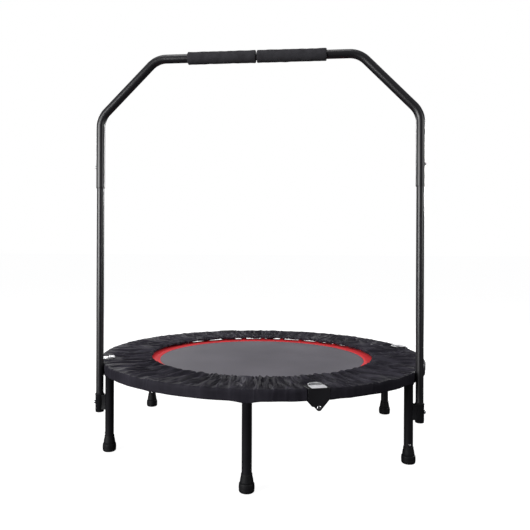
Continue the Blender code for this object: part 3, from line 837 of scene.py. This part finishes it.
def skirt_profile():
    """(r, z) of the cloth: up the inner hem, over the top, down the rim, round the bottom hem."""
    hem = [(HEM_RADIUS + 0.0034, 0.2438), (HEM_RADIUS + 0.0016, 0.2442), (HEM_RADIUS + 0.0008, 0.2452)]
    hem += [(HEM_RADIUS + 0.0002, 0.2466), (HEM_RADIUS + 0.0002, 0.2482), (HEM_RADIUS + 0.0010, 0.2497)]
    hem += [(HEM_RADIUS + 0.0028, 0.2508)]
    start = HEM_RADIUS + 0.0052
    top = []
    for row in range(TOP_ROWS + 1):
        share = row / TOP_ROWS
        sag = 0.0040 * math.sin(math.pi * min(1.0, share / 0.84)) ** 1.3
        top.append((start + (RIM_RADIUS - start) * share, SKIRT_TOP_Z - 0.0010 - sag + 0.0006 * share))
    drops = [(0.5026, 0.0002), (0.5050, 0.0008), (0.5068, 0.0020), (0.5070, 0.0032), (0.5074, 0.0046)]
    seam = [(r, SKIRT_TOP_Z - drop) for r, drop in drops]
    high = SKIRT_TOP_Z - 0.0070
    low = SKIRT_BOTTOM_Z + 0.0030
    wall = [(0.5080, high + (low - high) * step / 6) for step in range(7)]
    bottom = [(0.5078, low - 0.0022), (0.5068, low - 0.0036), (0.5052, low - 0.0038)]
    bottom += [(0.5042, low - 0.0022), (0.5040, low + 0.0006)]
    return hem + top + seam + wall + bottom


def smooth_noise(generator, angles, waves, strength):
    """A smooth random function round the skirt, from a few waves per turn up to the given number."""
    total = np.zeros_like(angles)
    for wave in range(2, waves):
        total += generator.normal() * np.sin(wave * angles + generator.uniform(0, 2 * math.pi))
    return strength * total / math.sqrt(waves / 2)


def gathers(generator, angles, run, count, wander, lean, sharp):
    """Folds of uneven spacing and height that lean outwards: ridges, or puffs between creases."""
    shift = smooth_noise(generator, angles, count // 3, wander)
    slant = smooth_noise(generator, angles, count // 5, lean)
    height = 0.82 + smooth_noise(generator, angles, count // 2, 0.30)
    wave = np.abs(np.sin(count * angles / 2 + shift + slant * run))
    crest = (1 - wave) ** 2.0 * 2.3 - 0.45 if sharp else 1.7 * wave ** 0.75 - 1.2
    return crest * np.clip(height, 0.25, 1.4)


def bell(values, centre, width):
    """1 at the centre, falling smoothly to 0."""
    return np.exp(-(((values - centre) / width) ** 2))


def skirt_lift(generator, profile, angles):
    """How far five sets of folds raise each point of the cloth, by rows and columns."""
    run = np.clip(profile[:, :1] - HEM_RADIUS, 0, None)
    inner = np.clip(1 - run / 0.030, 0, 1)
    middle = np.clip(run / 0.012, 0, 1) * np.clip(1 - run / 0.070, 0, 1)
    across = np.clip(run / 0.020, 0, 1) * (1 - 0.75 * np.clip((run - 0.09) / 0.05, 0, 1))
    outer = np.clip((run - 0.02) / 0.05, 0, 1) * (1 - 0.75 * np.clip((run - 0.10) / 0.04, 0, 1))
    sets = (
        (0.0028, inner, 170, 1.2, 14.0, False),
        (0.0030, middle, 100, 1.4, 16.0, False),
        (0.0062, across, 74, 1.4, 10.0, True),
        (0.0046, outer, 56, 1.4, 24.0, True),
        (0.0042, outer, 48, 1.4, -28.0, True),
    )
    lift = 0.0
    for height, where, count, wander, lean, sharp in sets:
        lift = lift + height * where * gathers(generator, angles, run, count, wander, lean, sharp)
    most = 0.0062 - 0.0026 * np.clip((run - 0.08) / 0.06, 0, 1)
    return most * np.tanh(lift / most)


def ripple_top(generator, profile, angles, rows, on_top):
    """(radius, z) of the cloth with folds on its top and ruffles in its inner hem."""
    radius = np.repeat(profile[:, :1], SKIRT_COLUMNS, axis=1)
    flat = np.repeat(profile[:, 1:], SKIRT_COLUMNS, axis=1)
    lift = skirt_lift(generator, profile, angles)
    z = flat + lift * on_top
    ruffle = gathers(generator, angles, 0.0, 210, 0.9, 0.0, True)
    in_hem = np.clip((HEM_ROWS + 1 - rows) / 3, 0, 1)
    radius = radius - 0.0016 * in_hem * ruffle - 0.35 * np.clip(lift, -0.002, 0.003) * in_hem
    z = z + in_hem * (1 - on_top) * (0.0012 * ruffle + smooth_noise(generator, angles, 48, 0.0009))
    return radius, z


def crumple_wall(generator, angles, rows, radius):
    """Small dents and a slight bulge in the cloth that hangs over the rim."""
    crumple = smooth_noise(generator, angles, 70, 0.0007) + smooth_noise(generator, angles, 22, 0.0006)
    puff = np.sin(math.pi * np.clip((rows - TOP_END) / (WALL_END - TOP_END), 0, 1))
    on_wall = np.clip((rows - TOP_END - 1) / 4, 0, 1)
    slip = smooth_noise(generator, angles, 40, 0.0005)
    return radius + on_wall * np.clip(crumple, -0.003, 0.0016) + 0.5 * puff * slip


def rest_on_metal(profile, rows, z):
    """Keeps the top of the cloth above the springs and the ring tube."""
    over_ring = profile[:, :1] > RING_INNER_EDGE
    floor = np.where(over_ring, RING_Z + TUBE_RADIUS + 0.0008, SPRING_Z + 0.0075)
    return np.where((rows >= HEM_ROWS) & (rows <= TOP_END), np.maximum(z, floor), z)


def fit_round_hinges(profile, angles, on_top, radius, z):
    """Flat cloth with a raised edge beside each hinge; also marks the points outside the slots."""
    flat = np.repeat(profile[:, 1:], SKIRT_COLUMNS, axis=1)
    keep = np.ones(radius.shape, bool)
    for angle in HINGES.values():
        gap = angle_gap(angles, math.radians(angle))[None, :] * radius
        beside = np.exp(-((gap / FLAT_HALF_WIDTH) ** 8))
        beside = beside * np.clip((radius - FLAT_START) / 0.014, 0, 1) * on_top
        z = z * (1 - beside) + np.minimum(flat, SKIRT_TOP_Z - 0.0008) * beside
        stand = bell(np.abs(gap), RAISED_EDGE, 0.005)
        stand = stand * np.clip((radius - RAISED_START) / 0.02, 0, 1) * on_top
        z = z + RAISED_HEIGHT * stand
        keep &= ~((np.abs(gap) < SLOT_HALF_WIDTH) & (radius > SLOT_START))
    return z, keep.ravel()


def make_skirt():
    """One gathered sheet over springs and ring, fitted round hinges, legs and poles."""
    generator = np.random.default_rng(11)
    profile = np.array(skirt_profile())
    path = np.concatenate([[0.0], np.cumsum(np.hypot(*np.diff(profile, axis=0).T))])
    angles = 2 * math.pi * np.arange(SKIRT_COLUMNS) / SKIRT_COLUMNS + math.radians(FOLD_ANGLE)
    rows = np.arange(len(profile))[:, None]
    on_top = np.clip((TOP_END + 3 - rows) / 4, 0, 1) * np.clip((rows - 1) / 4, 0, 1)
    radius, z = ripple_top(generator, profile, angles, rows, on_top)
    radius = crumple_wall(generator, angles, rows, radius)
    z = rest_on_metal(profile, rows, z)
    z, radius = fit_round_legs(rows, angles, z, radius)
    radius = dent_at_poles(profile, angles, radius)
    z, keep = fit_round_hinges(profile, angles, on_top, radius, z)
    points = np.stack([radius * np.cos(angles), radius * np.sin(angles), z], axis=-1).reshape(-1, 3)
    length = np.broadcast_to(angles * MEAN_RADIUS, radius.shape)
    across = np.broadcast_to(path[:, None], radius.shape)
    uv = np.stack([length, across], axis=-1).reshape(-1, 2)
    faces = [face for face in grid_faces(len(path), SKIRT_COLUMNS, True) if keep[list(face)].all()]
    skirt = link_mesh("fabric_skirt", points, faces, POLYESTER, uv)
    drop_loose(skirt)
    thicken(skirt, 0.0006)
    fold_blend(skirt)
    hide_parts("skirt_front", "skirt_rear")


def fit_round_legs(rows, angles, z, radius):
    """The bottom hem dips in a small collar at each leg."""
    low = np.clip((rows - WALL_START - 2) / 4, 0, 1)
    for angle in LEGS.values():
        gap = angle_gap(angles, math.radians(angle)) * RING_RADIUS
        z = z - 0.0060 * low * bell(gap, 0, 0.022)
        radius = radius - 0.0020 * low * bell(gap, 0, 0.018)
    return z, radius


def dent_at_poles(profile, angles, radius):
    """The handrail's poles press the cloth in."""
    near_rim = np.clip((profile[:, :1] - 0.495) / 0.006, 0, 1)
    for side in (-1, 1):
        gap = angle_gap(angles, math.atan2(POLE.y, side * POLE.x)) * SKIRT_RADIUS
        radius = radius - 0.0050 * near_rim * bell(gap, 0, 0.014)
    return radius


def drop_loose(obj):
    """Removes the points that no face uses."""
    bm = bmesh.new()
    bm.from_mesh(obj.data)
    loose = [v for v in bm.verts if not v.link_faces]
    bmesh.ops.delete(bm, geom=loose, context="VERTS")
    bm.to_mesh(obj.data)
    bm.free()


# Handrail.

def make_rail():
    for name, side in SIDES.items():
        centre = Vector((side * POLE.x, POLE.y, 0))
        make_pole(name, centre)
        make_socket(name, side, centre)
        make_upper_tube(name, side, centre)
        make_grip(name, side, centre)
        make_button(name, side, centre)


def make_pole(name, centre):
    """Lower pole; its core, always inside the upper tube, is thin enough for the button's travel."""
    low = SOCKET_LOW.z
    high = top_of(f"handle_pole_{name}")
    r = POLE_RADIUS
    core = POLE_CORE_RADIUS
    neck = STEP_Z + 0.004
    profile = [(0, high), (core, high), (core, neck + 0.002), (r, neck), (r, low), (0, low)]
    pole = lathe(f"lower_pole_{name}", profile, COAT, Matrix.Translation(centre))
    settle(pole, "frame_front", "black_steel", f"handle_pole_{name}")


def make_socket(name, side, centre):
    """Sleeve with a rolled top lip, its end plug, the saddle to the leg, and the through bolt."""
    r = SOCKET_RADIUS
    low = SOCKET_LOW.z
    high = SOCKET_HIGH.z
    bore = POLE_RADIUS + 0.0002
    profile = [(bore, high - 0.003), (bore, high), (r - 0.001, high), (r + 0.0004, high - 0.001)]
    profile += [(r + 0.0004, high - 0.005), (r - 0.0002, high - 0.0058), (r - 0.0002, low + 0.001)]
    profile += [(r - 0.001, low), (bore, low)]
    sleeve = lathe(f"pole_sleeve_{name}", profile, PLASTIC, Matrix.Translation(centre), 44)
    settle(sleeve, "frame_front", "black_plastic", f"handle_socket_{name}")
    plug = [(r - 0.001, low - 0.0004), (r - 0.0004, low - 0.001), (r - 0.0006, low - 0.0033)]
    plug += [(r - 0.0018, low - 0.0042), (0.004, low - 0.0042), (0.003, low - 0.0036), (0, low - 0.0036)]
    plug = [(0, low - 0.0002), *plug]
    end = lathe(f"end_plug_{name}", plug, RUBBER, Matrix.Translation(centre), 36)
    settle(end, "frame_front", "black_plastic", f"pole_plug_{name}")
    make_saddle(name, side, centre)
    make_bolt(name, side, centre)


def make_saddle(name, side, centre):
    """The waisted block between the sleeve and the leg, hugging both."""
    leg = polar(RING_RADIUS, LEGS["front_right"], 0)
    middle = (SOCKET_LOW.z + SOCKET_HIGH.z) / 2
    half_height = 0.021
    gap = abs(centre.x) - leg.x
    leg_radius = TUBE_RADIUS + 0.0002
    sleeve_radius = SOCKET_RADIUS - 0.001
    rows = 14
    columns = 10
    points = []
    for row in range(rows + 1):
        up = 2 * row / rows - 1
        z = middle + half_height * up
        pinch = 0.0100 - 0.0016 * (1 - up * up)
        for column in range(columns + 1):
            y = pinch * (2 * column / columns - 1)
            near = leg.x + math.sqrt(leg_radius ** 2 - y * y)
            points.append((side * near, leg.y + y, z))
        for column in range(columns, -1, -1):
            y = pinch * (2 * column / columns - 1)
            far = leg.x + gap - math.sqrt(sleeve_radius ** 2 - y * y)
            points.append((side * far, leg.y + y, z))
    around = 2 * (columns + 1)
    faces = grid_faces(rows + 1, around, True)
    faces.append(tuple(reversed(range(around))))
    faces.append(tuple(range(rows * around, (rows + 1) * around)))
    saddle = link_mesh(f"saddle_{name}", points, faces, PLASTIC)
    weld(saddle)
    round_edges(saddle, 0.0008, 3, 50)
    settle(saddle, "frame_front", "black_plastic")


def make_bolt(name, side, centre):
    """Bolt through sleeve and saddle into the leg, its domed head outside the sleeve."""
    outer = SOCKET_RADIUS + abs(centre.x)
    tip = polar(RING_RADIUS, LEGS["front_right"], 0).x + 0.006
    z = node_centre(f"clamp_bolt_{name}").z
    place = along_x(side, Vector((0, centre.y, z)))
    head = [(0, 0.0046), (0.0022, 0.0044), (0.0040, 0.0036), (0.0052, 0.0020), (0.0055, 0.0010)]
    head += [(0.0055, 0.0002), (0.003, 0.0002)]
    profile = [(radius, outer + height) for radius, height in head] + [(0.003, tip), (0, tip)]
    bolt = lathe(f"through_bolt_{name}", profile, ZINC, place, 28)
    settle(bolt, "frame_front", "zinc", f"clamp_bolt_{name}")


def make_upper_tube(name, side, centre):
    """The bent upper tube with a rolled lower lip."""
    corners = [
        (centre.x, centre.y, STEP_Z),
        (centre.x, centre.y, HANDLE_SHOULDER_Z),
        (side * HANDLE_TOP_HALF_WIDTH, centre.y, HANDLE_TOP_Z),
        (side * GRIP_ENDS[0], centre.y, HANDLE_TOP_Z),
    ]
    path = rounded_path(corners, HANDLE_BEND_RADIUS, 14)
    lip = [Vector((centre.x, centre.y, STEP_Z + h)) for h in (0.0, 0.0006, 0.0014, 0.004)]
    path = lip + path[1:]
    r = TUBE_RADIUS
    radii = [r - 0.0008, r - 0.0002, r, r] + [r] * (len(path) - 4)
    rail = sweep(f"upper_rail_{name}", path, r, COAT, 36, radii=radii)
    settle(rail, "handle", "black_steel", f"handle_tube_{name}")


def make_grip(name, side, centre):
    """Foam sleeve, a little uneven along its length, with cut ends."""
    start, end = GRIP_ENDS
    length = end - start
    generator = np.random.default_rng(3 + side)
    waves = 6
    phases = generator.uniform(0, 6.28, waves)
    sides = 48
    rows = 60
    points = []
    bore = TUBE_RADIUS + 0.0002
    stations = [(bore, 0.0), (GRIP_RADIUS - 0.0011, 0.0), (GRIP_RADIUS - 0.0003, 0.0007)]
    stations += [(None, 0.002 + (length - 0.004) * row / rows) for row in range(rows + 1)]
    stations += [(GRIP_RADIUS - 0.0003, length - 0.0007), (GRIP_RADIUS - 0.0011, length), (bore, length)]
    for reach, along in stations:
        for index in range(sides):
            turn = 2 * math.pi * index / sides
            swell = sum(math.sin((4 + 5 * k) * along * 9 + phases[k] + (k % 3) * turn) for k in range(waves))
            r = reach if reach else GRIP_RADIUS + 0.0005 + 0.00013 * swell
            points.append((along, r * math.cos(turn), r * math.sin(turn)))
    faces = grid_faces(len(stations), sides, True)
    place = Matrix.Translation((side * start, centre.y, HANDLE_TOP_Z)) @ Matrix.Diagonal((side, side, 1, 1))
    points = [place @ Vector(p) for p in points]
    grip = link_mesh(f"foam_grip_{name}", points, faces, FOAM)
    settle(grip, "handle", "foam", f"grip_{name}")


def make_button(name, side, centre):
    """Snap button: a short pin with a round end that stands out of the upper tube."""
    inner = TUBE_RADIUS - 0.001
    outer = abs(BUTTON.x) + node_size("snap_button_right").x / 2 - abs(centre.x)
    r = node_size("snap_button_right").y / 2
    profile = [(0, outer)]
    for turn in map(math.radians, range(15, 91, 15)):
        profile.append((r * math.sin(turn), outer - 0.003 * (1 - math.cos(turn))))
    profile += [(r, inner), (0, inner)]
    place = along_x(side, Vector((centre.x, centre.y, BUTTON.z)))
    button = lathe(f"button_{name}", profile, ZINC, place, 28)
    settle(button, f"button_{name}", "zinc", f"snap_button_{name}")


# Studio.

def make_camera():
    camera = bpy.data.cameras.new("camera")
    camera.lens = 40.5
    camera.sensor_width = 36
    camera.shift_x = 0.0466
    camera.shift_y = -0.0362
    camera.clip_start = 0.05
    camera.clip_end = 50
    obj = bpy.data.objects.new("camera", camera)
    bpy.context.scene.collection.objects.link(obj)
    yaw, pitch, roll = math.radians(-6.09), math.radians(0.05), math.radians(0.23)
    turn = Matrix.Rotation(-yaw, 4, "Z") @ Matrix.Rotation(math.pi / 2 + pitch, 4, "X")
    obj.matrix_world = Matrix.Translation((0.136, -1.932, 0.596)) @ turn @ Matrix.Rotation(roll, 4, "Z")
    bpy.context.scene.camera = obj


def make_light(name, place, aim, size, power):
    light = bpy.data.lights.new(name, "AREA")
    light.shape = "RECTANGLE"
    light.size, light.size_y = size
    light.energy = power
    obj = bpy.data.objects.new(name, light)
    bpy.context.scene.collection.objects.link(obj)
    obj.location = place
    obj.rotation_euler = (Vector(aim) - Vector(place)).to_track_quat("-Z", "Y").to_euler()


def make_surroundings():
    """White behind the object, and a soft glow from above that fades to dark at the floor."""
    world = bpy.data.worlds.new("studio")
    bpy.context.scene.world = world
    world.use_nodes = True
    tree = world.node_tree
    seen = tree.nodes["Background"]
    seen.inputs["Color"].default_value = (1.0, 1.0, 1.0, 1.0)
    glow = tree.nodes.new("ShaderNodeBackground")
    place = tree.nodes.new("ShaderNodeTexCoord")
    split = tree.nodes.new("ShaderNodeSeparateXYZ")
    ramp = tree.nodes.new("ShaderNodeValToRGB")
    for element, (height, tone) in zip(ramp.color_ramp.elements, ((0.05, 0.02), (0.9, 0.26))):
        element.position = height
        element.color = (tone, tone, tone * 1.04, 1.0)
    path = tree.nodes.new("ShaderNodeLightPath")
    mix = tree.nodes.new("ShaderNodeMixShader")
    tree.links.new(place.outputs["Generated"], split.inputs["Vector"])
    tree.links.new(split.outputs["Z"], ramp.inputs["Fac"])
    tree.links.new(ramp.outputs["Color"], glow.inputs["Color"])
    tree.links.new(path.outputs["Is Camera Ray"], mix.inputs["Fac"])
    tree.links.new(glow.outputs["Background"], mix.inputs[1])
    tree.links.new(seen.outputs["Background"], mix.inputs[2])
    tree.links.new(mix.outputs["Shader"], tree.nodes["World Output"].inputs["Surface"])


def make_floor():
    """A lit white floor, which leaves only a faint shadow and no reflection of itself."""
    bpy.ops.mesh.primitive_plane_add(size=80, location=(0, 0, -0.0003))
    floor = bpy.context.object
    floor.name = "studio_floor"
    n = Nodes("studio_white")
    n.set(Specular_IOR_Level=0.0, Emission_Strength=0.93)
    n.shader.inputs["Emission Color"].default_value = (1.0, 1.0, 1.0, 1.0)
    tone = n.ramp(n.noise(2.0), [(0.3, (0.30, 0.30, 0.30)), (0.7, (0.32, 0.32, 0.32))])
    floor.data.materials.append(n.finish(tone))
    floor.visible_diffuse = False
    floor.visible_glossy = False


def make_studio():
    make_surroundings()
    make_floor()
    make_light("key", (-2.1, -2.2, 0.9), (0, 0, 0.6), (2.2, 1.5), 82)
    make_light("fill", (2.5, -1.5, 1.1), (0, 0, 0.5), (0.7, 1.2), 15)
    make_light("top", (-0.3, -0.4, 3.2), (0, 0, 0), (1.4, 1.4), 18)
    make_light("back_left", (-1.6, 2.3, 1.5), (0, 0, 0.3), (0.8, 0.6), 22)
    make_light("back_right", (1.9, 2.0, 1.2), (0, 0, 0.3), (0.7, 0.5), 42)
    bpy.context.scene.view_settings.view_transform = "Standard"


make_camera()
COAT = powder_coat()
RUBBER = moulded("rubber", (0.0085, 0.0085, 0.0098), 0.60, 0.25)
PLASTIC = moulded("black_plastic", (0.014, 0.014, 0.016), 0.45, 0.12)
FOAM = foam()
ZINC = zinc("zinc", 0.22, 0.36)
# Painted highlight and painted shade: one zinc plate in two copies, the tab painted near white and partly
# matt for the bright reflection it shows, the dome painted darker grey for its shade.
TAB_ZINC_PAINTED_HIGHLIGHT = zinc("zinc_tab_painted_highlight", 0.45, 0.58, 0.98, 0.35)
DOME_ZINC_PAINTED_SHADE = zinc("zinc_dome_painted_shade", 0.34, 0.44, 0.64)
SPRING_STEEL = zinc("spring_steel", 0.18, 0.30)
POLYESTER = polyester()
WOVEN = woven_mat()
WEBBING = webbing()
RED_THREAD = thread("red_thread", (0.62, 0.02, 0.03))

make_ring()
for leg_name, leg_angle in LEGS.items():
    make_leg(leg_name, leg_angle)
    make_foot(leg_name, leg_angle)
for hinge_name, hinge_angle in HINGES.items():
    soften(f"hinge_channel_{hinge_name}", 0.0008, COAT)
    soften(f"hinge_leaf_{hinge_name}", 0.0003, COAT)
    make_pin(hinge_name, hinge_angle)
    if hinge_name != "rear":
        make_plate(hinge_name, hinge_angle)
soften("rail_joiner", 0.0002, COAT)
make_mat()
make_band()
make_springs()
make_skirt()
make_rail()
make_studio()
